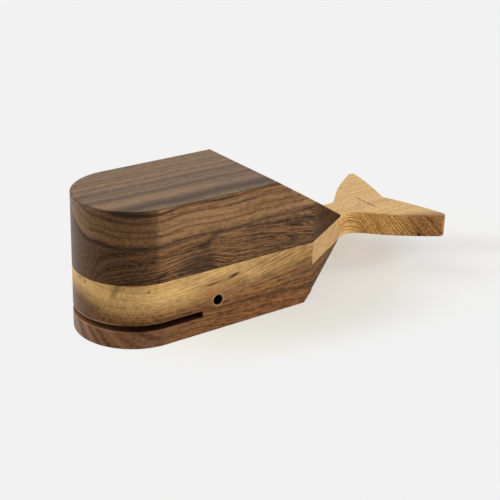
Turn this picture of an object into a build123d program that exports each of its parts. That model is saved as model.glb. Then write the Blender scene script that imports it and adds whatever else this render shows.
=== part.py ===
"""Whale figurine: two glued walnut blocks, a pale tail board, and the dowels that pin them together.

Millimetres, +Z up. The origin is on the underside, at the centre of the nose's half circle.
+X runs towards the tail, and the two sides are alike about the XZ plane.
"""
import os

from build123d import *

# Body, both blocks together
body_height = 76.0
body_width = 64.3           # also the diameter of the round nose
side_length = 95.8          # nose centre to the start of the rear facets
facet_length = 37.4         # rear facets, along the body
rear_width = 22.5           # blunt rear end, between the facets
slope_length = 63.3         # rear slope of the back, along the body
slope_land = 1.3            # height of the slope's blunt end above the seam
undercut_length = 41.6      # undercut below the tail, along the body
toe_length = 5.7            # steep start of the undercut, along the body
toe_height = 6.9
seam_height = 35.9          # glued seam between the blocks
edge_ease = 0.7             # sanded roundness of the outer edges

# Mouth, a saw kerf right across the nose
mouth_floor = 10.2          # underside to the lower lip
mouth_gap = 3.2
mouth_reach = 22.3          # nose centre to the kerf's square end
mouth_ease = 0.3

# Eyes, a blind hole drilled in each side
eye_diameter = 5.7
eye_depth = 12.0
eye_setback = 32.3          # nose centre to the eye
eye_height = 17.4
eye_ease = 0.4

# Tail board
tail_thickness = 13.5
tail_length = 56.7          # rear end of the body to the fluke's tips, before they are rounded
fluke_span = 90.2           # between the tips, before they are rounded
waist_setback = 9.5         # rear end of the body to the narrowest place
waist_width = 18.6
notch_depth = 13.4          # tips to the notch, along the body
trailing_bulge = 1.2        # outward bow of each trailing edge
notch_radius = 2.5
tip_radius = 2.5
tail_ease = 0.8
lead_run_shares = (0.19, 0.45, 0.74)    # leading edge, along the body from waist to tip
lead_rise_shares = (0.18, 0.50, 0.78)   # leading edge, across the body from waist to tip

# Dowels, glued in sockets
dowel_diameter = 8.0
dowel_clearance = 0.05      # on the radius
dowel_chamfer = 0.8
dowel_end_room = 1.5        # room for glue above each dowel
dowel_depth = 14.0          # seam to each end of the two body dowels
front_dowel_setback = 4.0   # nose centre to the front dowel
dowel_spacing = 56.0        # front dowel to middle dowel
tail_dowel_share = 0.27     # place of its dowels along the tail's root, from its front
tail_dowel_spacing = 26.0
tail_dowel_depth = 9.0      # past the tail's root, into each block

overrun = 5.0               # every cutter passes this far through its faces

# Sizes that follow
nose_radius = body_width / 2
body_reach = side_length + facet_length
ledge_height = seam_height - tail_thickness
whole_depth = body_width + fluke_span
middle_dowel_setback = front_dowel_setback + dowel_spacing
tail_dowel_place = side_length + tail_dowel_share * facet_length


def body_plan():
    """The body seen from above: a half circle, straight sides and two facets."""
    nose = CenterArc((0, 0), nose_radius, 90, 180)
    sides = Polyline(
        (0, -nose_radius),
        (side_length, -nose_radius),
        (body_reach, -rear_width / 2),
        (body_reach, rear_width / 2),
        (side_length, nose_radius),
        (0, nose_radius),
    )
    return make_face(nose.edges() + sides.edges())


def body_profile():
    """The body seen from its side: flat top and underside, rear slope, and undercut with its steep toe."""
    front = -nose_radius - overrun
    toe = body_reach - undercut_length
    outline = Polyline(
        (front, 0),
        (toe, 0),
        (toe + toe_length, toe_height),
        (body_reach, ledge_height),
        (body_reach, seam_height + slope_land),
        (body_reach - slope_length, body_height),
        (front, body_height),
        close=True,
    )
    return Plane.XZ * make_face(outline.edges())


def whole_body():
    """Both blocks and the tail's root as one solid, with its outer edges sanded round."""
    solid = extrude(body_plan(), body_height, dir=(0, 0, 1))
    solid &= extrude(body_profile(), whole_depth, both=True)
    rear_end = solid.edges().filter_by_position(Axis.X, body_reach - edge_ease, body_reach + edge_ease)
    nose_sides = solid.edges().filter_by(Axis.Z).filter_by_position(Axis.X, -edge_ease, edge_ease)
    return fillet(solid.edges() - rear_end - nose_sides, edge_ease)


def layer(front, low, high):
    """A block that covers the body's width behind front, between two heights."""
    length = body_reach + overrun - front
    corner = Align.MIN, Align.CENTER, Align.MIN
    return Pos(front, 0, low) * Box(length, whole_depth, high - low, align=corner)


def upright(place, low, high, radius):
    """A round bar that stands on low and ends at high."""
    standing = Align.CENTER, Align.CENTER, Align.MIN
    return Pos(place[0], place[1], low) * Cylinder(radius, high - low, align=standing)


def dowel(place, low, high):
    """A dowel with both ends chamfered."""
    bar = upright(place, low, high, dowel_diameter / 2)
    return chamfer(bar.edges().filter_by(GeomType.CIRCLE), dowel_chamfer)


def socket(place, low, high):
    """The hole for a dowel, which stands on the hole's floor."""
    return upright(place, low, high + dowel_end_room, dowel_diameter / 2 + dowel_clearance)


def cut_mouth(block):
    """Saws the mouth from the nose back to its square end, and eases the kerf's outer edges."""
    length = nose_radius + overrun + mouth_reach
    corner = Align.MAX, Align.CENTER, Align.MIN
    kerf = Pos(mouth_reach, 0, mouth_floor) * Box(length, whole_depth, mouth_gap, align=corner)
    sawn = block - kerf
    lips = new_edges(block, kerf, combined=sawn).filter_by(Axis.Y, reverse=True)
    return fillet(lips, mouth_ease)


def drill_eyes(block):
    """Drills a blind eye hole in each side and eases its rim."""
    for side in (-1, 1):
        rim = Pos(eye_setback, side * nose_radius, eye_height)
        block -= rim * Rot(90, 0, 0) * Cylinder(eye_diameter / 2, 2 * eye_depth)
    across = block.edges().filter_by(GeomType.CIRCLE).sort_by(Axis.Y)
    return chamfer([across[0], across[-1]], eye_ease)


def fluke():
    """The tail behind the body: waist, swept lobes with round tips, and the notch between them."""
    tip = (body_reach + tail_length, fluke_span / 2)
    waist = (body_reach + waist_setback, waist_width / 2)
    notch = (tip[0] - notch_depth, 0)
    run = tip[0] - waist[0]
    rise = tip[1] - waist[1]
    sweep = [
        (waist[0] + along * run, waist[1] + across * rise)
        for along, across in zip(lead_run_shares, lead_rise_shares)
    ]
    root_corner = (body_reach, rear_width / 2)
    facet_way = (facet_length, rear_width / 2 - nose_radius)
    tip_way = (tip[0] - sweep[-1][0], tip[1] - sweep[-1][1])
    leading = Spline(root_corner, waist, *sweep, tip, tangents=(facet_way, tip_way))
    trailing = SagittaArc(tip, notch, trailing_bulge)
    half = [leading, trailing]
    root_line = Line(root_corner, (root_corner[0], -root_corner[1]))
    outline = [*half, *[mirror(curve, about=Plane.XZ) for curve in half], root_line]
    board = Pos(0, 0, ledge_height) * extrude(make_face(outline), tail_thickness, dir=(0, 0, 1))
    uprights = board.edges().filter_by(Axis.Z).sort_by(Axis.X)
    board = fillet(uprights[-2:], tip_radius)
    notch_edge = board.edges().filter_by(Axis.Z).sort_by(lambda edge: abs(edge.center().Y))[:1]
    board = fillet(notch_edge, notch_radius)
    rims = board.edges().filter_by(lambda edge: edge.center().X > body_reach + tail_ease)
    rims = rims.filter_by(Axis.Z, reverse=True)
    return fillet(rims, tail_ease)


def main():
    dowels = {
        "front_dowel": ((front_dowel_setback, 0), seam_height - dowel_depth, seam_height + dowel_depth),
        "middle_dowel": ((middle_dowel_setback, 0), seam_height - dowel_depth, seam_height + dowel_depth),
    }
    for name, side in (("tail_dowel_left", -1), ("tail_dowel_right", 1)):
        place = (tail_dowel_place, side * tail_dowel_spacing / 2)
        dowels[name] = (place, ledge_height - tail_dowel_depth, seam_height + tail_dowel_depth)
    sockets = [socket(*sizes) for sizes in dowels.values()]

    body = whole_body()
    front = -nose_radius - overrun
    root_layer = layer(side_length, ledge_height, seam_height)
    pieces = {
        "upper_block": body & layer(front, seam_height, body_height + overrun),
        "lower_block": drill_eyes(cut_mouth((body & layer(front, -overrun, seam_height)) - root_layer)),
        "tail": (body & root_layer) + fluke(),
    }
    for name in pieces:
        pieces[name] -= sockets
    for name, sizes in dowels.items():
        pieces[name] = dowel(*sizes)

    os.makedirs("parts", exist_ok=True)
    for name, piece in pieces.items():
        export_step(piece, f"parts/{name}.step")


main()
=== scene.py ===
"""Whale figurine on a pale studio floor: two walnut blocks with a mouth and eyes, and an oak tail.

Lengths in the materials are millimetres in the part's own frame: x towards the tail, y across, z up.
The near side is the one with y below zero. Wood colours are as a screen shows them, 0 to 255.
A span is the pair of places between which something comes in or goes out. A stretch is four places:
it comes in between the first two and goes out between the last two.
"""
import math
from types import SimpleNamespace

import bmesh
import bpy
from mathutils import Matrix, Vector


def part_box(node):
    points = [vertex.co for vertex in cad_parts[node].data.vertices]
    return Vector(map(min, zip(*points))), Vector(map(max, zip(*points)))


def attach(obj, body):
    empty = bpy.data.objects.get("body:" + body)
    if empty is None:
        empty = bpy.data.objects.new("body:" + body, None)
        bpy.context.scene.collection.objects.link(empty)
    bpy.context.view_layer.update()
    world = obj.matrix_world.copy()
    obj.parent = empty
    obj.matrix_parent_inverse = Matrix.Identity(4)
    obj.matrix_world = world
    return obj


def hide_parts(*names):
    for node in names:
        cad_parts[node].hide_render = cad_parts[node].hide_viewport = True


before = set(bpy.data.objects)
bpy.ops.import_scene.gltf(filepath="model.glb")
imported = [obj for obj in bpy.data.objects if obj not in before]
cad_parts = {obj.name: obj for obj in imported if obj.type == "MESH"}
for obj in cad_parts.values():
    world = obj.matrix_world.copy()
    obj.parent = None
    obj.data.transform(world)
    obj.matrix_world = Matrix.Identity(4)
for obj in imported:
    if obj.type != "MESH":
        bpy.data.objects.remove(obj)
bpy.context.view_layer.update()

millimetre = 0.001

# Main sizes of the body in millimetres, first those that the frame gives
upper_low, upper_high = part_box("upper_block")
tail_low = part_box("tail")[0]
body_reach = upper_high[0] / millimetre
nose_radius = upper_high[1] / millimetre
body_height = upper_high[2] / millimetre
seam_height = upper_low[2] / millimetre
side_length = tail_low[0] / millimetre
ledge_height = tail_low[2] / millimetre
facet_length = body_reach - side_length
rear_width = 22.5
slope_start = 69.9
slope_end_height = 37.2
mouth_height = 11.8             # middle of the kerf
mouth_reach = 22.3
eye_setback = 32.3
eye_height = 17.4
eye_radius = 2.85
near_face = -32.0               # just inside the near side

# Values that the woods share
middle_tone = 0.5
noise_middle = 0.5
pattern_shift = 31.7            # from one noise pattern to the next
rough_detail = 3.0              # layers of finer noise in a noise
plain_detail = 2.0
soft_detail = 1.0
ripple_size = (1.4, 3.0, 3.0)   # ripples across the walnut's grain
pore_span = (0.12, 0.22)        # noise between pores, and in them
blot_span = (0.1, 1.0)          # squared distance from a blot's middle, where 1 is its reach
skin_span = (-0.12, -0.03)      # depth under a flat's surface

# Levels of the light that is seen on the backdrop, and that falls on the whale from all round
backdrop_level = 0.888
ambient_level = 0.5


def screen(red, green, blue):
    """A colour as a screen shows it, 0 to 255, in the linear values that a shader takes."""
    full = 255
    toe = 0.04045
    toe_slope = 12.92
    lift = 0.055
    power = 2.4
    linear = []
    for level in (red / full, green / full, blue / full):
        linear.append(level / toe_slope if level <= toe else ((level + lift) / (1 + lift)) ** power)
    return (*linear, 1.0)


def find(sockets, name):
    """The socket in use with that name or identifier."""
    for socket in sockets:
        if socket.enabled and name in (socket.identifier, socket.name):
            return socket
    raise KeyError(name)


class Field:
    """What varies over a surface: one socket, with arithmetic on values that adds Math nodes."""

    def __init__(self, paint, socket):
        self.paint = paint
        self.socket = socket

    def __add__(self, other):
        return self.paint.math("ADD", self, other)

    def __sub__(self, other):
        return self.paint.math("SUBTRACT", self, other)

    def __rsub__(self, other):
        return self.paint.math("SUBTRACT", other, self)

    def __mul__(self, other):
        return self.paint.math("MULTIPLY", self, other)

    def __truediv__(self, other):
        return self.paint.math("DIVIDE", self, other)

    def __rtruediv__(self, other):
        return self.paint.math("DIVIDE", other, self)

    def __neg__(self):
        return self.paint.math("MULTIPLY", self, -1.0)

    __radd__ = __add__
    __rmul__ = __mul__

    def squared(self):
        return self.paint.math("MULTIPLY", self, self)

    def root(self):
        return self.paint.math("SQRT", self)

    def size(self):
        return self.paint.math("ABSOLUTE", self)

    def least(self, other):
        return self.paint.math("MINIMUM", self, other)

    def most(self, other):
        return self.paint.math("MAXIMUM", self, other)

    def share(self):
        """Held between 0 and 1."""
        return self.most(0.0).least(1.0)

    def rise(self, low, high):
        """Climbs smoothly from 0 at low to 1 at high."""
        settings = {"interpolation_type": "SMOOTHSTEP"}
        sockets = {"Value": self, "From Min": low, "From Max": high}
        return self.paint.field(self.paint.node("ShaderNodeMapRange", settings, sockets), "Result")

    def fall(self, low, high):
        """Drops smoothly from 1 at low to 0 at high."""
        return 1 - self.rise(low, high)

    def stretch(self, start, full, ease, end):
        """Climbs from 0 at start to 1 at full, and drops from 1 at ease to 0 at end."""
        return self.rise(start, full) * self.fall(ease, end)


class Paint:
    """One node tree, with short calls that add nodes to it."""

    def __init__(self, tree):
        self.tree = tree
        self.patterns = 0
        tree.nodes.clear()

    def node(self, kind, settings, sockets):
        """Adds a node: its settings first, then the values or links of its sockets."""
        made = self.tree.nodes.new(kind)
        for name, value in settings.items():
            setattr(made, name, value)
        for name, value in sockets.items():
            socket = find(made.inputs, name)
            if isinstance(value, Field):
                self.tree.links.new(value.socket, socket)
            else:
                socket.default_value = value
        return made

    def field(self, made, output):
        return Field(self, find(made.outputs, output))

    def math(self, operation, first, second=None):
        sockets = {"Value": first}
        if second is not None:
            sockets["Value_001"] = second
        return self.field(self.node("ShaderNodeMath", {"operation": operation}, sockets), "Value")

    def mix(self, share, first, second, blend="MIX"):
        """The first colour, and by that share the second."""
        sockets = {"Factor": share, "A": first, "B": second}
        made = self.node("ShaderNodeMix", {"data_type": "RGBA", "blend_type": blend}, sockets)
        return self.field(made, "Result")

    def tones(self, tone, ends):
        """A colour between two ends, the first where the tone is 0 and the second where it is 1."""
        first, second = ends
        return self.mix(tone, screen(*first), screen(*second))

    def tint(self, colour, share, hue):
        """The colour, with that share of a hue over it."""
        return self.mix(share, colour, screen(*hue))

    def shade(self, colour, share, hue):
        """The colour, darkened by that share of a hue."""
        return self.mix(share, colour, screen(*hue), "MULTIPLY")

    def place(self):
        """Reads the place on the piece, in millimetres."""
        coordinate = self.field(self.node("ShaderNodeTexCoord", {}, {}), "Object")
        parts = self.node("ShaderNodeSeparateXYZ", {}, {"Vector": coordinate})
        self.axes = [self.field(parts, axis) / millimetre for axis in "XYZ"]
        self.x, self.y, self.z = self.axes

    def noise(self, dimensions, sockets):
        """Noise about zero."""
        made = self.node("ShaderNodeTexNoise", {"noise_dimensions": dimensions}, {"Scale": 1.0, **sockets})
        return Field(self, made.outputs[0]) - noise_middle

    def next_shift(self):
        """A shift that gives each noise of the tree a pattern of its own."""
        self.patterns += 1
        return pattern_shift * self.patterns

    def cloud(self, length, width, height, detail=plain_detail, level=None):
        """Soft noise about zero, with blobs of that size along x, y and z, or a level instead of z."""
        upward = self.z if level is None else level
        places = {"X": self.x / length + self.next_shift(), "Y": self.y / width, "Z": upward / height}
        vector = self.field(self.node("ShaderNodeCombineXYZ", {}, places), "Vector")
        return self.noise("3D", {"Vector": vector, "Detail": detail})

    def bands(self, level, thickness, detail):
        """Uneven bands about zero that follow a level, each about that thick."""
        return self.noise("1D", {"W": level / thickness + self.next_shift(), "Detail": detail})

    def threads(self, level, thickness, span):
        """1 along uneven lines that follow a level, and 0 between them. The span is of the bands' noise."""
        return self.bands(level, thickness, soft_detail).rise(*span)

    def pores(self, size, level=None):
        """1 in scattered pores that lie in blobs of that size, and 0 between them."""
        return self.cloud(*size, soft_detail, level).rise(*pore_span)

    def patches(self, middle, swing, size, low=0.0, high=None):
        """A share that wavers about its middle, in patches of that size, and stays between low and high."""
        share = (middle + swing * self.cloud(*size)).most(low)
        return share if high is None else share.least(high)

    def gap(self, centre, reach):
        """Squared distance from a place, where 1 is that reach along each axis that the two name."""
        parts = []
        for axis, middle, extent in zip(self.axes, centre, reach):
            parts.append(((axis - middle) / extent).squared())
        return sum(parts[1:], parts[0])

    def blot(self, centre, reach):
        """1 at a place, and 0 outside an ellipsoid of that reach round it."""
        return self.gap(centre, reach).fall(*blot_span)


def new_material(name):
    """A material with an empty node tree, and the paint that fills it."""
    material = bpy.data.materials.new(name)
    material.use_nodes = True
    paint = Paint(material.node_tree)
    paint.place()
    return material, paint


def finish_wood(paint, colour, roughness, height, relief, dull=None):
    """Ends a wood's tree in an oiled surface with that relief, in millimetres. Dull places have no sheen."""
    specular_level = 0.08
    sheen = {"Sheen Weight": 0.26, "Sheen Roughness": 0.42}
    sockets = {"Height": height, "Strength": 1.0, "Distance": relief * millimetre}
    bump = paint.field(paint.node("ShaderNodeBump", {}, sockets), "Normal")
    wood = {"Base Color": colour, "Roughness": roughness, "Normal": bump}
    wood["Specular IOR Level"] = specular_level
    surface = paint.field(paint.node("ShaderNodeBsdfPrincipled", {}, {**wood, **sheen}), "BSDF")
    if dull is not None:
        bare = paint.field(paint.node("ShaderNodeBsdfPrincipled", {}, wood), "BSDF")
        both = {"Fac": dull, "Shader": surface, "Shader_001": bare}
        surface = paint.field(paint.node("ShaderNodeMixShader", {}, both), "Shader")
    paint.node("ShaderNodeOutputMaterial", {}, {"Surface": surface})


def finish_walnut(paint, colour, streaks, pores, dull):
    """Ends a walnut's tree: pale streaks are higher and rougher, and pores are sunk and rough."""
    plain_roughness = 0.5
    streak_roughness = 0.12
    pore_roughness = 0.2
    streak_height = 0.3
    relief = 0.05
    roughness = plain_roughness + streak_roughness * streaks + pore_roughness * pores
    finish_wood(paint, colour, roughness, streak_height * streaks - pores, relief, dull)


def nose_skin(paint):
    """1 on the round nose, where end grain shows, and less at its very front and away from its surface."""
    nose_depths = (nose_radius - 0.8, nose_radius - 0.2)
    start_span = (3.0, 6.5)
    front_share = 0.55
    front_span = (4.0, 16.0)
    ahead = paint.x.least(0.0)
    radius = (ahead.squared() + paint.y.squared()).root()
    beside = front_share + (1 - front_share) * paint.y.size().rise(*front_span)
    return radius.rise(*nose_depths) * (-paint.x).rise(*start_span) * beside


def flat_skin(along, drop, outside, length):
    """1 on a flat that drops by that much over that length, from where along and outside are 0."""
    slant = math.hypot(length, drop)
    outward = along * (drop / slant) + outside * (length / slant)
    return outward.rise(*skin_span)


def facet_skin(paint):
    """1 on the two rear facets, and 0 away from them."""
    drop = nose_radius - rear_width / 2
    return flat_skin(paint.x - side_length, drop, paint.y.size() - nose_radius, facet_length)


def slope_skin(paint):
    """1 on the rear slope of the back, and 0 away from it."""
    drop = body_height - slope_end_height
    return flat_skin(paint.x - slope_start, drop, paint.z - body_height, body_reach - slope_start)


def upper_rings(paint, grain):
    """Levels of the upper block's rings, about a heart over the near side: they climb to the far side."""
    x, y, z = paint.axes
    heart_across = -34.0
    heart_height = 139.0
    long_waves = (45.0, 30.0, 24.0)
    short_waves = (16.0, 8.0, 7.0)
    short_wave_height = 0.8
    nose_drop = 1.7
    nose_drop_span = (-4.0, 12.0)
    middle_drop = 1.2
    middle_stretch = (14.0, 36.0, 40.0, 64.0)
    front_drop = 1.8
    front_stretch = (-17.0, -7.0, -4.0, 6.0)
    front_span = (-29.0, -22.0)
    back_calm_share = 0.85
    drop = paint.cloud(*long_waves) + short_wave_height * paint.cloud(*short_waves)
    drop += nose_drop * x.fall(*nose_drop_span) + middle_drop * x.stretch(*middle_stretch)
    drop += front_drop * y.stretch(*front_stretch) * x.fall(*front_span)
    away = ((y - heart_across).squared() + (heart_height - z).squared()).root()
    return heart_height - away + drop * (1 - back_calm_share * grain.back)


def upper_front(paint):
    """How far the figure's rings plunge at the front of the nose, and lean across it."""
    plunge_scale = 44.0         # depth of the plunge times the distance from its place
    plunge_place = -32.8
    plunge_room = 2.2
    lean_level = 20.0
    lean_across = -9.8
    lean_rate = 2.3
    lean_span = (-12.0, 0.0)
    plunge = plunge_scale / (paint.x - plunge_place).most(plunge_room)
    lean = (lean_level + lean_rate * (paint.y - lean_across)) * paint.x.fall(*lean_span)
    return plunge.most(lean)


def upper_arch(paint, behind):
    """How far the figure's rings drop as they arch over the smudge and fall to the rear."""
    arch_drop = 2.8
    arch_span = (1.0, 18.0)
    arch_heights = (38.0, 54.0)
    smudge_lift = 0.8
    lift_span = (-18.0, -1.0)
    rear_drop = 9.5
    rear_start = 31.0
    rear_length = 66.0
    arch = arch_drop * behind.rise(*arch_span) * paint.z.fall(*arch_heights)
    arch -= smudge_lift * behind.rise(*lift_span)
    return arch + rear_drop * (paint.x - rear_start).most(0.0) / rear_length


def upper_grain(paint):
    """The upper block's faces, and the levels of its rings, of its dark figure and of its fibres."""
    x, y, z = paint.axes
    back_span = (body_height - 0.9, body_height - 0.2)
    nose_span = (-20.0, -3.0)
    smudge_place = 23.3
    smudge_knee = 50.5          # the smudge leans to the rear above this height
    smudge_lean = 1.35
    flow_heights = (44.0, 72.0)
    gold_foot = (54.5, 57.0)
    quiet_share = 0.75
    quiet_across = (-18.0, -9.0)
    quiet_span = (-24.0, -14.0)
    grain = SimpleNamespace()
    grain.back = z.rise(*back_span)
    grain.sides = 1 - grain.back
    grain.facets = facet_skin(paint)
    grain.slope = slope_skin(paint)
    grain.nose = x.fall(*nose_span)
    grain.ring = upper_rings(paint, grain)
    grain.behind = x - smudge_place - smudge_lean * (z - smudge_knee).most(0.0)
    arch = upper_arch(paint, grain.behind)
    grain.figure = grain.ring + upper_front(paint) + arch
    grain.flow = z + arch * z.fall(*flow_heights)
    grain.under = grain.ring.fall(*gold_foot) * grain.sides
    grain.quiet = 1 - quiet_share * y.rise(*quiet_across) * x.fall(*quiet_span)
    return grain


def upper_late_rings(paint, grain):
    """Thin late rings on the sides, which fade in and out along their length, and on the back."""
    # Level of each ring on the sides, its depth there, and its depth round the nose
    side_rings = (
        (75.2, 1.0, 1.0),
        (71.2, 0.9, 0.75),
        (66.8, 0.12, 0.0),
        (63.4, 0.6, 0.3),
        (57.6, 0.8, 1.05),
    )
    # Level of each ring on the back, and its depth
    back_rings = (
        (75.5, 1.0),
        (71.2, 0.75),
        (68.7, 0.35),
        (66.0, 0.5),
        (62.6, 0.5),
        (57.2, 0.65),
    )
    blur = 0.9                  # how soft the lower side of a ring is
    nose_blur = 0.9
    low_blur = 1.2
    low_levels = (58.0, 60.0)
    high_blur = 0.7
    high_levels = (72.0, 74.0)
    upper_blur_share = 0.7
    back_blur = 1.8
    back_upper_blur = 0.6
    back_share = 0.95
    ring = grain.ring
    fade = paint.patches(middle=0.85, swing=1.8, size=(26.0, 20.0, 5.0), low=0.15)
    soft = blur + nose_blur * grain.nose
    soft += low_blur * ring.fall(*low_levels) + high_blur * ring.rise(*high_levels)
    lines = 0.0
    for level, depth, nose_depth in side_rings:
        line = ring.stretch(level - soft, level, level, level + upper_blur_share * soft)
        lines += line * (depth + (nose_depth - depth) * grain.nose)
    lines = lines * fade * grain.sides
    for level, depth in back_rings:
        line = ring.stretch(level - back_blur, level, level, level + back_upper_blur)
        lines += line * (depth * back_share) * grain.back
    return lines


def upper_lines(paint, grain):
    """The upper block's dark lines: late rings, broken rings in the figure, and fine ones above it."""
    figure_thickness = 1.5
    figure_span = (0.02, 0.16)
    fine_thickness = 1.2
    fine_span = (0.06, 0.24)
    fine_share = 0.15
    facet_calm_share = 0.6
    slope_calm_share = 0.5
    far_calm_share = 0.4
    far_span = (-4.0, 20.0)
    lines = upper_late_rings(paint, grain)
    broken = paint.patches(middle=0.6, swing=2.0, size=(20.0, 9.0, 4.0))
    lines += paint.threads(grain.figure, figure_thickness, figure_span) * grain.under * broken * grain.quiet
    fine = paint.threads(grain.ring, fine_thickness, fine_span) * (1 - grain.under)
    lines += fine * grain.sides * fine_share
    lines = lines * (1 - facet_calm_share * grain.facets) * (1 - slope_calm_share * grain.slope)
    return lines * (1 - far_calm_share * paint.y.rise(*far_span))


def upper_tone(paint, grain):
    """Streaks along the upper block's rings, and the tone from dark to pale that fine grit adds to them."""
    ring_thickness = 2.6
    side_share = 0.6
    figure_share = 0.75
    fibre_size = (34.0, 1.1, 1.1)
    speck_size = (3.0, 0.9, 0.9)
    strand_size = (10.0, 0.7, 0.7)
    ripple_weight = 0.5
    speck_weight = 1.4
    strand_weight = 2.2
    nose_calm_share = 0.65
    streak_weight = 1.1
    figure_weight = 0.3
    facet_calm_share = 0.3
    rings = paint.bands(grain.ring, ring_thickness, rough_detail)
    rings = rings * (side_share + (1 - side_share) * grain.back)
    figure = paint.bands(grain.figure, ring_thickness, rough_detail)
    streaks = rings + grain.under * (figure_share * figure * grain.quiet - rings)
    streaks += paint.cloud(*fibre_size, rough_detail)
    grit = ripple_weight * paint.cloud(*ripple_size, soft_detail)
    grit += speck_weight * paint.cloud(*speck_size, plain_detail, grain.flow)
    grit += strand_weight * grain.under * paint.cloud(*strand_size, soft_detail, grain.flow)
    grit = grit * (1 - nose_calm_share * grain.nose * grain.under)
    swing = (streak_weight + figure_weight * grain.under) * streaks + grit
    tone = middle_tone + (1 - facet_calm_share * grain.facets) * swing
    return streaks, tone.share()


def upper_colour(paint, grain, tone):
    """A dark figure with gold above it, and a greyer back whose tones also carry painted sheen."""
    figure_tones = ((44, 25, 9), (136, 95, 57))
    gold_tones = ((94, 62, 32), (155, 116, 78))
    back_wood_and_sheen_tones = ((80, 58, 35), (133, 102, 70))
    gold_levels = (54.0, 58.6)
    figure = paint.tones(tone, figure_tones)
    gold = paint.tones(tone, gold_tones)
    colour = paint.mix(grain.ring.rise(*gold_levels), figure, gold)
    # the back's wood tones, raised to carry painted sheen in place of the real sheen that is dulled there
    return paint.mix(grain.back, colour, paint.tones(tone, back_wood_and_sheen_tones))


def upper_glints(paint, grain, colour):
    """Pale rings in the figure, and warm glints on the near side."""
    sheaf_thickness = 2.1
    sheaf_span = (0.05, 0.2)
    sheaf_share = 0.5
    rear_loss = 0.22
    rear_span = (36.0, 60.0)
    far_calm_share = 0.4
    far_span = (-18.0, -9.0)
    second_glow_share = 0.55
    glow_share = 0.25
    gleam_share = 0.25
    sheaf_colour = (150, 110, 72)
    glow_colour = (148, 108, 72)
    gleam_colour = (186, 144, 104)
    sheaf = paint.threads(grain.figure, sheaf_thickness, sheaf_span) * grain.under
    sheaf = sheaf * (1 - far_calm_share * paint.y.rise(*far_span))
    sheaf = sheaf * (sheaf_share - rear_loss * paint.x.rise(*rear_span))
    colour = paint.tint(colour, sheaf, sheaf_colour)
    glow = paint.blot(centre=(5.5, near_face, 46.0), reach=(15.0, 10.0, 6.5))
    second_glow = paint.blot(centre=(40.0, near_face, 47.0), reach=(16.0, 9.0, 8.0))
    glow = glow.most(second_glow * second_glow_share)
    colour = paint.tint(colour, glow * glow_share, glow_colour)
    gleam = paint.blot(centre=(20.0, near_face, 66.0), reach=(36.0, 9.0, 4.5)) * grain.sides
    return paint.tint(colour, gleam * gleam_share, gleam_colour)


def upper_pale_rings(paint, grain, colour):
    """A tan ring and a flush of pale ones on the back, and a patchy pale ring on the sides."""
    x, ring = paint.x, grain.ring
    tan_levels = (71.5, 72.8, 73.6, 74.8)
    tan_span = (10.0, 50.0)
    tan_share = 0.5
    stripe_levels = (58.8, 60.2, 61.4, 62.6)
    stripe_across = (4.0, 16.0)
    stripe_break = (-29.0, -23.0, -10.0, -2.0)
    stripe_share = 0.3
    flush_thickness = 2.2
    flush_span = (0.0, 0.2)
    flush_share = 0.3
    tan_colour = (142, 108, 76)
    stripe_colour = (170, 130, 88)
    flush_colour = (144, 108, 84)
    tan = ring.stretch(*tan_levels) * grain.back * x.fall(*tan_span)
    colour = paint.tint(colour, tan * tan_share, tan_colour)
    stripe = ring.stretch(*stripe_levels) * grain.sides * paint.y.fall(*stripe_across)
    stripe = stripe * (1 - x.stretch(*stripe_break)) * stripe_share
    stripe = stripe * paint.patches(middle=0.5, swing=1.4, size=(24.0, 12.0, 3.0), high=1.0)
    colour = paint.tint(colour, stripe, stripe_colour)
    flush = paint.threads(ring, flush_thickness, flush_span) * grain.back
    return paint.tint(colour, flush * flush_share, flush_colour)


def upper_smudge(paint, grain):
    """A ragged dark smudge that climbs the near side, and three softer dark places."""
    smudge_waves = (9.0, 9.0, 6.0)
    smudge_wave_reach = 4.0
    smudge_width = (0.8, 5.0)
    smudge_top = (55.5, 59.0)
    smudge_foot = (47.0, 51.0)
    foot_share = 0.45
    smudge_across = (-26.0, -10.0)
    rear_share = 0.35
    ragged = smudge_wave_reach * paint.cloud(*smudge_waves)
    smudge = (grain.behind + ragged).size().fall(*smudge_width) * paint.z.fall(*smudge_top)
    smudge = smudge * (foot_share + (1 - foot_share) * paint.z.rise(*smudge_foot))
    smudge = smudge * paint.y.fall(*smudge_across)
    mottle = paint.patches(middle=1.0, swing=2.2, size=(6.0, 9.0, 4.5), low=0.3, high=1.3)
    seam_blot = paint.blot(centre=(20.5, near_face, 41.0), reach=(14.0, 12.0, 8.5))
    rear_blot = paint.blot(centre=(74.0, near_face, 38.5), reach=(32.0, 10.0, 5.5))
    edge_blot = paint.blot(centre=(-17.0, -27.0, body_height), reach=(16.0, 11.0, 5.0))
    smudge = smudge.most(seam_blot * mottle)
    smudge = smudge.most(rear_blot * rear_share)
    return smudge.most(edge_blot * grain.sides)


def upper_shades(paint, grain, colour):
    """Darker end grain on nose, slope and facets, a darker rear, and a line at the glued seam."""
    x, z = paint.x, paint.z
    slope_share = 0.5
    nose_share = 0.5
    rear_span = (48.0, 84.0)
    rear_share = 0.5
    facet_share = 0.7
    facet_span = (side_length, side_length + 12.0)
    seam_span = (seam_height + 0.1, seam_height + 0.4)
    seam_share = 0.4
    end_colour = (207, 203, 198)
    nose_colour = (208, 208, 212)
    rear_colour = (232, 226, 220)
    facet_colour = (149, 132, 109)
    seam_colour = (40, 25, 14)
    colour = paint.shade(colour, nose_skin(paint).most(grain.slope * slope_share), end_colour)
    colour = paint.shade(colour, grain.nose * grain.under * nose_share, nose_colour)
    rear = grain.under * x.rise(*rear_span) * (1 - grain.facets)
    colour = paint.shade(colour, rear * rear_share, rear_colour)
    facets = grain.facets * (facet_share + (1 - facet_share) * x.rise(*facet_span))
    colour = paint.shade(colour, facets, facet_colour)
    return paint.tint(colour, z.fall(*seam_span) * seam_share, seam_colour)


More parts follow.
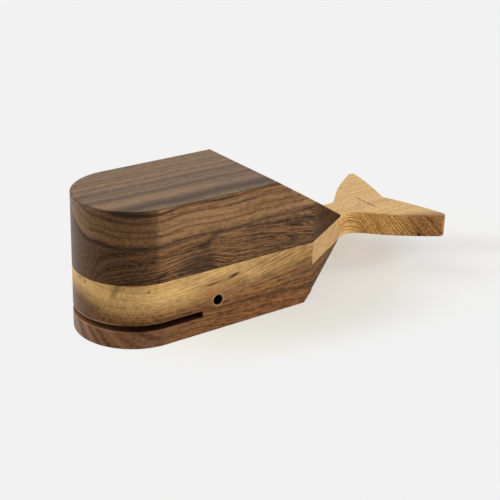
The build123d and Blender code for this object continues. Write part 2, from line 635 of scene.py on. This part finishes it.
def dark_walnut():
    """Upper block: gold with thin dark rings by the near top edge, and a dark arched figure below it."""
    pore_size = (6.0, 0.45, 0.45)
    pore_share = 0.45
    nose_calm_share = 0.7
    smudge_share = 0.65
    side_line_colour = (54, 32, 17)
    back_line_colour = (58, 39, 23)
    pore_colour = (40, 24, 13)
    smudge_colour = (48, 31, 18)
    back_dull_share = 0.45
    material, paint = new_material("dark_walnut")
    grain = upper_grain(paint)
    lines = upper_lines(paint, grain)
    streaks, tone = upper_tone(paint, grain)
    colour = upper_colour(paint, grain, tone)
    colour = upper_glints(paint, grain, colour)
    colour = upper_pale_rings(paint, grain, colour)
    colour = paint.mix(lines.share(), colour, paint.tones(grain.back, (side_line_colour, back_line_colour)))
    pores = paint.pores(pore_size, grain.flow) * (1 - nose_calm_share * grain.nose * grain.under)
    colour = paint.tint(colour, pores * pore_share, pore_colour)
    colour = paint.tint(colour, upper_smudge(paint, grain) * smudge_share, smudge_colour)
    colour = upper_shades(paint, grain, colour)
    # the back's real sheen is partly dulled here, and its colour carries painted sheen instead
    dull = grain.facets.most(back_dull_share * grain.back)
    finish_walnut(paint, colour, streaks, pores, dull)
    return material


def lower_grain(paint):
    """Levels of the lower block's rings, which climb to the far side and fan to the rear, and its jaw."""
    x, y, z = paint.axes
    fan_height = 15.0
    fan_start = 2.0
    fan_length = 77.0
    fan_growth = 1.5
    bow_across = -34.0
    bow_length = 150.0          # the rings' climb is the squared distance across over this
    bow_limit = 7.5
    long_waves = (40.0, 25.0, 14.0)
    long_wave_height = 2.2
    short_waves = (14.0, 6.0, 6.0)
    short_wave_height = 1.2
    jaw_heights = (9.5, 12.5)
    jaw_span = (-12.0, 22.0)
    jaw_lean = 1.4
    jaw_waves = (30.0, 12.0, 12.0)
    jaw_wave_height = 2.0
    rear_span = (15.0, 65.0)
    grain = SimpleNamespace()
    bow = ((y - bow_across).squared() / bow_length).least(bow_limit)
    spread = 1.0 + fan_growth * ((x - fan_start) / fan_length).most(0.0).squared()
    drop = long_wave_height * paint.cloud(*long_waves) + short_wave_height * paint.cloud(*short_waves)
    grain.level = fan_height + (z - fan_height - bow + drop) / spread
    grain.jaw = z.fall(*jaw_heights) * x.fall(*jaw_span)
    grain.jaw_level = z - jaw_lean * y + jaw_wave_height * paint.cloud(*jaw_waves)
    grain.rear = x.rise(*rear_span)
    return grain


def lower_tone(paint, grain):
    """Streaks along the lower block's rings, and the tone from dark to pale that fine grit adds to them."""
    ring_thickness = 0.9
    jaw_thickness = 7.0
    jaw_weight = 1.2
    fibre_size = (38.0, 1.0, 1.0)
    fibre_weight = 0.9
    speck_size = (4.5, 0.9, 0.7)
    ripple_weight = 0.6
    speck_weight = 1.8
    jaw_calm_share = 0.6
    streak_weight = 1.4
    streaks = paint.bands(grain.level, ring_thickness, rough_detail) * (1 - grain.jaw)
    streaks += jaw_weight * paint.bands(grain.jaw_level, jaw_thickness, soft_detail) * grain.jaw
    streaks += fibre_weight * paint.cloud(*fibre_size, rough_detail)
    grit = ripple_weight * paint.cloud(*ripple_size, soft_detail)
    grit += speck_weight * paint.cloud(*speck_size, plain_detail, grain.level)
    tone = middle_tone + streak_weight * streaks + grit * (1 - jaw_calm_share * grain.jaw)
    return streaks, tone.share()


def lower_colour(paint, grain, tone):
    """Golden sapwood under the seam over brown heartwood, a reddish jaw, and rust along the foot's rear."""
    x, z = paint.x, paint.z
    heart_tones = ((66, 37, 14), (151, 103, 56))
    sap_tones = ((184, 143, 82), (222, 183, 120))
    jaw_tones = ((78, 48, 26), (150, 106, 74))
    front_colour = (74, 52, 32)
    rust_colour = (138, 82, 46)
    sap_foot = 14.8
    sap_full = 26.2
    rear_drop = 2.4
    rear_loss_share = 0.32
    rear_span = (30.0, 72.0)
    patch_share = 0.5
    eye_loss_share = 0.4
    front_loss_share = 0.6
    front_share = 0.5
    rust_heights = (4.0, 14.0)
    rust_span = (30.0, 50.0)
    rust_share = 0.6
    sap = grain.level.rise(sap_foot, sap_full - rear_drop * grain.rear)
    sap = sap * (1 - rear_loss_share * x.rise(*rear_span))
    sap = sap * (1 - patch_share * paint.patches(middle=0.2, swing=2.4, size=(30.0, 16.0, 5.0)))
    by_eye = paint.blot(centre=(33.0, near_face, 25.0), reach=(24.0, 14.0, 8.0))
    at_front = paint.blot(centre=(-34.0, -2.0, 19.0), reach=(12.0, 18.0, 8.0))
    sap = sap * (1 - eye_loss_share * by_eye) * (1 - front_loss_share * at_front)
    heart = paint.tint(paint.tones(tone, heart_tones), at_front * front_share, front_colour)
    colour = paint.mix(sap, heart, paint.tones(tone, sap_tones))
    colour = paint.mix(grain.jaw, colour, paint.tones(tone, jaw_tones))
    rust = z.fall(*rust_heights) * x.rise(*rust_span) * rust_share
    rust = rust * paint.patches(middle=0.3, swing=2.0, size=(26.0, 9.0, 3.0))
    return paint.tint(colour, rust, rust_colour)


def lower_lines(paint, grain, colour):
    """One dark ring behind the eye, fine rings that grow stronger to the rear, and a dark upper lip."""
    x, z = paint.x, paint.z
    ring_levels = (12.6, 13.4, 13.6, 14.4)
    ring_span = (30.0, 50.0)
    ring_share = 0.6
    fine_thickness = 0.7
    fine_span = (0.02, 0.18)
    fine_share = 0.06
    fine_rear_share = 0.36
    lip_heights = (13.2, 13.8, 14.4, 17.5)
    lip_span = (-4.0, 30.0)
    lip_share = 0.4
    line_colour = (72, 44, 20)
    lines = grain.level.stretch(*ring_levels) * ring_share * x.rise(*ring_span)
    fine = paint.threads(grain.level, fine_thickness, fine_span) * (1 - grain.jaw)
    fine = fine * (fine_share + fine_rear_share * grain.rear)
    lines += fine * paint.patches(middle=0.8, swing=2.2, size=(20.0, 9.0, 4.0))
    lines += z.stretch(*lip_heights) * x.fall(*lip_span) * lip_share
    return paint.tint(colour, lines.share(), line_colour)


def lower_streak(paint):
    """A dark streak on the near side that climbs to the rear above the eye, with two thicker places."""
    x, y, z = paint.axes
    start = 22.0
    start_height = 27.2
    climb_rate = 0.06
    bend = 36.0
    bend_rate = 0.15
    waves = (7.0, 9.0, 5.0)
    wave_height = 0.8
    first_thickness = 0.15
    first_stretch = (26.0, 30.0, 32.0, 35.0)
    second_thickness = 0.5
    second_stretch = (38.5, 41.5, 42.0, 48.0)
    edge_span = (0.1, 0.7)
    middle = 35.5
    end_span = (9.0, 12.5)
    faint_share = 0.75
    faint_stretch = (33.5, 35.0, 37.0, 39.0)
    near_span = (-30.0, -28.0)
    height = start_height + climb_rate * (x - start) + bend_rate * (x - bend).most(0.0)
    away = (z - height + wave_height * paint.cloud(*waves)).size()
    thick = first_thickness * x.stretch(*first_stretch) + second_thickness * x.stretch(*second_stretch)
    streak = (away - thick).fall(*edge_span) * (x - middle).size().fall(*end_span)
    streak = streak * (1 - faint_share * x.stretch(*faint_stretch)) * y.fall(*near_span)
    return streak * paint.patches(middle=0.85, swing=1.2, size=(6.0, 9.0, 9.0), high=0.95)


def lower_marks(paint, colour):
    """The streak above the eye, small dark marks on the nose, and a brown run below the seam there."""
    x, y, z = paint.axes
    # Centre, reach and depth of each mark
    marks = (
        ((-32.1, -0.4, 35.0), (4.0, 0.9, 1.6), 0.6),
        ((-31.8, -4.8, 33.8), (4.0, 0.9, 1.6), 0.6),
        ((-9.8, -30.6, 32.2), (1.0, 4.0, 0.8), 0.7),
    )
    mark_colour = (58, 36, 16)
    run_across = -22.6
    run_top = 36.4
    run_lean = 0.29
    run_waves = (8.0, 8.0, 5.0)
    run_wave_reach = 2.0
    run_width = (0.3, 2.2)
    run_span = (-20.0, -18.0)
    run_heights = (26.0, 31.0)
    run_share = 0.55
    run_colour = (100, 74, 40)
    dark = lower_streak(paint)
    for centre, reach, depth in marks:
        dark = dark.most(paint.blot(centre, reach) * depth)
    colour = paint.tint(colour, dark, mark_colour)
    run = y - run_across - (run_top - z) * run_lean + run_wave_reach * paint.cloud(*run_waves)
    run = run.size().fall(*run_width) * x.fall(*run_span) * z.rise(*run_heights)
    return paint.tint(colour, run * run_share, run_colour)


def lower_stains(paint, colour):
    """A brown stain at the near side's rear, and a red blush over the eye."""
    stain_share = 0.5
    stain_colour = (92, 63, 40)
    blush_share = 0.3
    blush_colour = (196, 122, 72)
    stain = paint.blot(centre=(88.0, near_face, 21.0), reach=(9.0, 8.0, 6.5))
    colour = paint.tint(colour, stain * stain_share, stain_colour)
    blush = paint.blot(centre=(28.0, near_face, 23.0), reach=(6.0, 5.0, 4.0))
    return paint.tint(colour, blush * blush_share, blush_colour)


def saw_mouth(paint, colour):
    """Colours the kerf's cut wood, warm at the nose's front with painted light in it and dark farther in as
    painted shade, and gives its lips a pale painted highlight.
    """
    x, y, z = paint.axes
    lip_heights = (9.3, 9.8, 13.8, 14.6)
    lip_span = (-26.0, -20.0)
    lip_share = 0.35
    lip_highlight_colour = (196, 162, 128)
    half_gap = (1.65, 1.8)
    rear_drop = 0.2
    rear_span = (-24.0, -10.0)
    end_span = (mouth_reach, mouth_reach + 0.7)
    kerf_wood_and_light_colour = (128, 86, 56)
    side_span = (13.0, 28.0)
    kerf_shade_span = (-25.0, -8.0)
    kerf_shade_colour = (52, 27, 13)
    # painted highlight: the kerf's rounded lips are paler
    lips = z.stretch(*lip_heights) * x.fall(*lip_span)
    colour = paint.tint(colour, lips * lip_share, lip_highlight_colour)
    # the kerf's cut wood, warm brown, with painted light where light reaches in at the nose's front
    kerf = (z - mouth_height + rear_drop * x.rise(*rear_span)).size().fall(*half_gap) * x.fall(*end_span)
    colour = paint.tint(colour, kerf, kerf_wood_and_light_colour)
    # painted shade: darker farther into the kerf and round the sides
    kerf_shade = y.size().rise(*side_span).most(x.rise(*kerf_shade_span))
    return paint.tint(colour, kerf * kerf_shade, kerf_shade_colour), kerf


def drill_eyes(paint, colour):
    """Colours the eyes' dark bores, painted shade over darker drilled end grain, and their rims with a pale
    painted highlight.
    """
    x, y, z = paint.axes
    rim_stretch = (eye_radius, eye_radius + 0.3, eye_radius + 0.4, eye_radius + 1.2)
    rim_highlight_share = 0.3
    rim_highlight_colour = (206, 184, 156)
    bore_span = (eye_radius, eye_radius + 0.3)
    bore_depths = (nose_radius - 0.8, nose_radius - 0.3)
    bore_shade_colour = (16, 11, 8)
    away = ((x - eye_setback).squared() + (z - eye_height).squared()).root()
    # painted highlight: a pale ring round each eye's rim
    colour = paint.tint(colour, away.stretch(*rim_stretch) * rim_highlight_share, rim_highlight_colour)
    # painted shade: the bore is near black, over its darker drilled end grain
    bore = away.fall(*bore_span) * y.size().fall(*bore_depths)
    return paint.tint(colour, bore, bore_shade_colour), bore


def sapwood_walnut():
    """Lower block: golden sapwood under the seam, grading to brown heartwood and a reddish jaw."""
    pore_size = (8.0, 0.45, 0.4)
    pore_share = 0.28
    pore_colour = (92, 60, 30)
    facet_heights = (ledge_height, ledge_height + 1.0)
    facet_colour = (196, 190, 184)
    material, paint = new_material("sapwood_walnut")
    grain = lower_grain(paint)
    streaks, tone = lower_tone(paint, grain)
    colour = lower_colour(paint, grain, tone)
    colour = lower_lines(paint, grain, colour)
    colour = lower_marks(paint, colour)
    colour = lower_stains(paint, colour)
    pores = paint.pores(pore_size, grain.level)
    colour = paint.tint(colour, pores * pore_share, pore_colour)
    # darker end grain on the facets below the tail's ledge, with painted shade under the tail
    facets = facet_skin(paint) * paint.z.fall(*facet_heights)
    colour = paint.shade(colour, facets, facet_colour)
    colour, kerf = saw_mouth(paint, colour)
    colour, bore = drill_eyes(paint, colour)
    dull = facets.most(kerf).most(bore)
    finish_walnut(paint, colour, streaks, pores, dull)
    return material


def tail_grain(paint):
    """Levels of the tail's rings, nearly upright along it, and lying level on the edges round its waist."""
    x, y, z = paint.axes
    top_span = (seam_height - 1.0, seam_height - 0.3)
    root_span = (body_reach - 4.0, body_reach + 6.0)
    waist_reach = 12.5
    waist_rate = 0.3
    slant_rate = 0.5
    long_waves = (40.0, 20.0, 20.0)
    long_wave_height = 1.4
    short_waves = (14.0, 6.0, 6.0)
    short_wave_height = 0.7
    grain = SimpleNamespace()
    grain.top = z.rise(*top_span)
    grain.edges = 1 - grain.top
    grain.root = x.fall(*root_span)
    near = -y
    run = (near - waist_reach).most(0.0) + (near + waist_reach).least(0.0)
    run += waist_rate * near.most(-waist_reach).least(waist_reach)
    run += grain.top * (near - run)
    waves = long_wave_height * paint.cloud(*long_waves) + short_wave_height * paint.cloud(*short_waves)
    grain.level = slant_rate * z + run + waves
    return grain


def tail_lines(paint, grain):
    """Dark strokes across the tail's edges, and fainter hairs along its top, broken along their length."""
    stroke_thickness = 0.5
    hair_thickness = 1.2
    line_span = (0.0, 0.16)
    stroke_share = 0.95
    root_loss = 0.8
    hair_share = 0.45
    strokes = paint.threads(grain.level, stroke_thickness, line_span) * grain.edges
    strokes = strokes * (stroke_share - root_loss * grain.root)
    hairs = paint.threads(grain.level, hair_thickness, line_span) * grain.top * hair_share
    return (strokes + hairs) * paint.patches(middle=0.8, swing=1.6, size=(22.0, 9.0, 9.0))


def tail_tone(paint, grain):
    """Streaks along the tail's rings, and the tone from dark to pale that specks add to them."""
    ring_thickness = 1.3
    fibre_size = (30.0, 0.9, 0.9)
    fibre_weight = 0.7
    speck_size = (2.0, 0.9, 0.9)
    speck_weight = 2.2
    streak_weight = 1.5
    root_calm_share = 0.6
    streaks = paint.bands(grain.level, ring_thickness, rough_detail)
    streaks += fibre_weight * paint.cloud(*fibre_size, rough_detail)
    specks = speck_weight * paint.cloud(*speck_size, plain_detail) * (1 - root_calm_share * grain.root)
    return streaks, (middle_tone + streak_weight * streaks + specks).share()


def tail_colour(paint, grain, tone):
    """Honey on top, and edges with a painted highlight at the waist, duller at the root and dusky at the
    tips.
    """
    x, y = paint.x, paint.y
    top_tones = ((183, 139, 76), (223, 184, 119))
    edge_tones = ((182, 122, 58), (250, 198, 122))
    dusk_tones = ((78, 46, 20), (186, 132, 74))
    root_tones = ((132, 96, 48), (208, 166, 106))
    waist_highlight_tones = ((214, 160, 88), (250, 208, 132))
    dusk_across = (26.0, 36.0)
    dusk_share = 0.9
    waist_highlight_stretch = (137.0, 141.0, 145.5, 148.5)
    waist_highlight_share = 0.9
    edge = paint.tones(tone, edge_tones)
    edge = paint.mix(y.size().rise(*dusk_across) * dusk_share, edge, paint.tones(tone, dusk_tones))
    edge = paint.mix(grain.root, edge, paint.tones(tone, root_tones))
    # painted highlight: the edges are paler round the waist, where they turn to the light
    edge = paint.mix(x.stretch(*waist_highlight_stretch) * waist_highlight_share, edge, paint.tones(tone, waist_highlight_tones))
    return paint.mix(grain.edges, paint.tones(tone, top_tones), edge)


def tail_stain(paint, grain):
    """A brown stain on top of the near lobe, towards its tip."""
    stain_place = 166.0
    stain_lean = 0.45
    stain_across = (-31.0, -23.0)
    stain_span = (160.0, 172.0)
    stain_share = 0.85
    across = paint.y + stain_lean * (paint.x - stain_place)
    return across.fall(*stain_across) * paint.x.rise(*stain_span) * grain.top * stain_share


def tail_cracks(paint, grain):
    """A fine ragged crack across the top, and a fainter slanting split in front of it."""
    x, y = paint.x, paint.y
    ragged_waves = (6.0, 4.0, 6.0)
    ragged_reach = 2.2
    crack_place = 161.2
    crack_width = (0.35, 0.9)
    crack_across = -0.8
    crack_reach = (8.0, 10.0)
    split_place = 154.5
    split_across = -2.0
    split_lean = 0.57
    split_ragged_share = 0.5
    split_width = (0.2, 0.7)
    split_reach = (2.5, 4.0)
    split_share = 0.45
    ragged = ragged_reach * paint.cloud(*ragged_waves)
    crack = (x - crack_place + ragged).size().fall(*crack_width)
    crack = crack * (y - crack_across).size().fall(*crack_reach)
    crack = crack * paint.patches(middle=0.75, swing=3.0, size=(20.0, 3.0, 20.0), low=0.1, high=1.0)
    along = x - split_place
    split = (y - split_across - along * split_lean + split_ragged_share * ragged).size().fall(*split_width)
    split = split * along.size().fall(*split_reach)
    return crack.most(split * split_share) * grain.top


def tip_check(paint):
    """A short dark check at the foot of the near edge, by the tip."""
    check_place = 174.5
    check_height = 23.5
    check_lean = 0.45
    check_width = (0.5, 1.3)
    check_top = (24.2, 25.6)
    check_across = (-33.0, -31.0)
    away = (paint.x - check_place + (paint.z - check_height) * check_lean).size()
    return away.fall(*check_width) * paint.z.fall(*check_top) * paint.y.fall(*check_across)


def pale_oak():
    """Tail: honey oak, with slanting rings that run along its top and show as strokes on its edges."""
    line_colour = (110, 62, 25)
    stain_colour = (142, 98, 62)
    crack_colour = (66, 38, 18)
    pore_size = (4.5, 0.4, 0.4)
    pore_share = 0.5
    pore_colour = (128, 84, 42)
    plain_roughness = 0.55
    streak_roughness = 0.12
    pore_roughness = 0.15
    relief = 0.06
    streak_height = 0.3
    material, paint = new_material("pale_oak")
    grain = tail_grain(paint)
    lines = tail_lines(paint, grain)
    streaks, tone = tail_tone(paint, grain)
    colour = tail_colour(paint, grain, tone)
    colour = paint.tint(colour, lines, line_colour)
    colour = paint.tint(colour, tail_stain(paint, grain), stain_colour)
    crack = tail_cracks(paint, grain)
    colour = paint.tint(colour, crack.most(tip_check(paint)), crack_colour)
    pores = paint.pores(pore_size)
    colour = paint.tint(colour, pores * pore_share, pore_colour)
    roughness = plain_roughness + streak_roughness * streaks + pore_roughness * pores
    finish_wood(paint, colour, roughness, streak_height * streaks - pores - crack, relief)
    return material


def beech_dowel():
    """Dowels: pale turned beech with short flecks."""
    fibre_size = (0.8, 0.8, 12.0)
    fleck_size = (0.5, 0.5, 2.5)
    fleck_span = (0.1, 0.2)
    fleck_share = 0.4
    beech_tones = ((196, 158, 116), (222, 188, 146))
    fleck_colour = (158, 116, 78)
    plain_roughness = 0.55
    fibre_roughness = 0.1
    relief = 0.03
    material, paint = new_material("beech_dowel")
    fibre = paint.cloud(*fibre_size, rough_detail)
    flecks = paint.cloud(*fleck_size, soft_detail).rise(*fleck_span)
    colour = paint.tones((middle_tone + fibre).share(), beech_tones)
    colour = paint.tint(colour, flecks * fleck_share, fleck_colour)
    finish_wood(paint, colour, plain_roughness + fibre_roughness * fibre, fibre - flecks, relief)
    return material


def dress(node, material):
    """Shows a welded copy of a solid, with its rounds shaded smooth and its flats kept flat."""
    weld_reach = 0.002 * millimetre
    sharp_angle = math.radians(35.0)
    flat_weight = 100
    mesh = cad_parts[node].data.copy()
    mesh.name = node + "_wood"
    form = bmesh.new()
    form.from_mesh(mesh)
    bmesh.ops.remove_doubles(form, verts=form.verts, dist=weld_reach)
    form.to_mesh(mesh)
    form.free()
    if "custom_normal" in mesh.attributes:
        mesh.attributes.remove(mesh.attributes["custom_normal"])
    mesh.shade_smooth()
    mesh.set_sharp_from_angle(angle=sharp_angle)
    mesh.materials.clear()
    mesh.materials.append(material)
    piece = bpy.data.objects.new(node + "_wood", mesh)
    bpy.context.scene.collection.objects.link(piece)
    flats = piece.modifiers.new("flats", "WEIGHTED_NORMAL")
    flats.keep_sharp = True
    flats.weight = flat_weight
    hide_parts(node)
    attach(piece, "root")


def dress_dowels(material):
    """Gives the dowels' own solids that material."""
    for node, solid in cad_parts.items():
        if "dowel" in node:
            solid.data.materials.clear()
            solid.data.materials.append(material)


def seen_ray(paint):
    """1 for rays that show what they hit: from the camera, off a gloss or through glass."""
    rays = paint.node("ShaderNodeLightPath", {}, {})
    seen = paint.field(rays, "Is Camera Ray")
    seen = seen + paint.field(rays, "Is Glossy Ray") + paint.field(rays, "Is Transmission Ray")
    return seen.least(1.0)


def light_world():
    """Even pale light from all round, and the backdrop's level where it is seen."""
    light_colour = (1.0, 0.99, 0.97, 1.0)
    world = bpy.data.worlds.new("studio")
    bpy.context.scene.world = world
    world.use_nodes = True
    paint = Paint(world.node_tree)
    seen = seen_ray(paint)
    strength = seen * backdrop_level + (1 - seen) * ambient_level
    sockets = {"Color": light_colour, "Strength": strength}
    glow = paint.field(paint.node("ShaderNodeBackground", {}, sockets), "Background")
    paint.node("ShaderNodeOutputWorld", {}, {"Surface": glow})


def floor_trail(paint):
    """1 along a soft trail of shade on the floor, from behind the tail to the rear and the near side."""
    start_x = 190.0
    start_y = 3.0
    way_x = 0.83
    way_y = -0.55
    half_width = 26.0
    length_stretch = (-30.0, 25.0, 40.0, 140.0)
    ahead = paint.x - start_x
    aside = paint.y - start_y
    along = way_x * ahead + way_y * aside
    across = way_x * aside - way_y * ahead
    return across.size().fall(0.0, half_width) * along.stretch(*length_stretch)


def pale_floor():
    """The floor's matt finish, with the backdrop's level over it where it is seen, less so in the shade.
    That level holds a painted shadow under the tail and along a trail behind it, and a painted warm bounce
    of light near the whale.
    """
    matt_colour = (0.79, 0.78, 0.735, 1.0)
    plain_level = (backdrop_level, backdrop_level, backdrop_level, 1.0)
    bounce_light_level = (0.885, 0.86, 0.795, 1.0)
    nook_shadow_level = (0.45, 0.40, 0.325, 1.0)
    trail_shadow_level = (0.60, 0.595, 0.57, 1.0)
    bounce_light_span = (0.3, 1.0)
    nook_shadow_span = (0.1, 1.8)
    glow_share = 0.97
    shade_loss = 0.36
    nook_shadow_loss_share = 0.3
    trail_shadow_share = 0.45
    material, paint = new_material("pale_floor")
    shaded = paint.blot(centre=(150.0, -25.0), reach=(160.0, 75.0))
    # painted shadow under the tail
    nook_shadow = paint.gap(centre=(166.0, 18.0), reach=(30.0, 26.0)).root().fall(*nook_shadow_span)
    # painted light: a warm bounce from the wood onto the floor near the whale
    warm = paint.gap(centre=(85.0, -25.0), reach=(115.0, 62.0)).fall(*bounce_light_span)
    level = paint.mix(warm, plain_level, bounce_light_level)
    level = paint.mix(nook_shadow, level, nook_shadow_level)
    # painted shadow along the trail behind the tail
    level = paint.mix(floor_trail(paint) * trail_shadow_share, level, trail_shadow_level)
    matt = paint.field(paint.node("ShaderNodeBsdfDiffuse", {}, {"Color": matt_colour}), "BSDF")
    glow = paint.field(paint.node("ShaderNodeEmission", {}, {"Color": level}), "Emission")
    glowing = seen_ray(paint) * (glow_share - shade_loss * shaded) * (1 - nook_shadow_loss_share * nook_shadow)
    both = {"Fac": glowing, "Shader": matt, "Shader_001": glow}
    surface = paint.field(paint.node("ShaderNodeMixShader", {}, both), "Shader")
    paint.node("ShaderNodeOutputMaterial", {}, {"Surface": surface})
    return material


def lay_floor():
    """A wide pale floor that keeps a faint soft shadow, partly painted into it."""
    radius = 5.0
    sides = 96
    drop = 0.05 * millimetre
    form = bmesh.new()
    bmesh.ops.create_circle(form, cap_ends=True, segments=sides, radius=radius)
    mesh = bpy.data.meshes.new("floor")
    form.to_mesh(mesh)
    form.free()
    mesh.transform(Matrix.Translation((0, 0, -drop)))
    mesh.materials.append(pale_floor())
    floor = bpy.data.objects.new("floor", mesh)
    bpy.context.scene.collection.objects.link(floor)


def hang_lamp(name, place, size, power):
    """A large soft white disc lamp that faces the whale."""
    aim = Vector((0.06, 0.0, 0.03))
    lamp = bpy.data.lights.new(name, "AREA")
    lamp.shape = "DISK"
    lamp.size = size
    lamp.energy = power
    hanger = bpy.data.objects.new(name, lamp)
    bpy.context.scene.collection.objects.link(hanger)
    turn = (Vector(place) - aim).to_track_quat("Z", "Y").to_matrix().to_4x4()
    hanger.matrix_world = Matrix.Translation(place) @ turn


def set_camera():
    """A long lens at the nose's near side, looking a little down."""
    azimuth = math.radians(-37.1382)
    elevation = math.radians(23.3871)
    roll = math.radians(1.74991)
    target = Vector((0.097496, 0.027553, 0.009034))
    distance = 0.724578
    focal_length = 87.568
    sensor_width = 36.0
    back = Vector((
        math.sin(azimuth) * math.cos(elevation),
        -math.cos(azimuth) * math.cos(elevation),
        math.sin(elevation),
    ))
    right = Vector((math.cos(azimuth), math.sin(azimuth), 0))
    up = back.cross(right)
    turned_right = math.cos(roll) * right + math.sin(roll) * up
    turned_up = math.cos(roll) * up - math.sin(roll) * right
    lens = bpy.data.cameras.new("camera")
    lens.sensor_width = sensor_width
    lens.lens = focal_length
    camera = bpy.data.objects.new("camera", lens)
    bpy.context.scene.collection.objects.link(camera)
    turn = Matrix((turned_right, turned_up, back)).transposed().to_4x4()
    camera.matrix_world = Matrix.Translation(target + distance * back) @ turn
    bpy.context.scene.camera = camera


def main():
    """Sets the camera, the lights and the floor, and dresses the whale."""
    bpy.context.scene.view_settings.view_transform = "Standard"
    set_camera()
    light_world()
    hang_lamp("window", place=(-0.8, 1.1, 1.2), size=1.2, power=20.0)
    hang_lamp("fill", place=(1.6, -1.1, 0.7), size=1.6, power=34.0)
    lay_floor()
    dress("upper_block", dark_walnut())
    dress("lower_block", sapwood_walnut())
    dress("tail", pale_oak())
    dress_dowels(beech_dowel())


main()
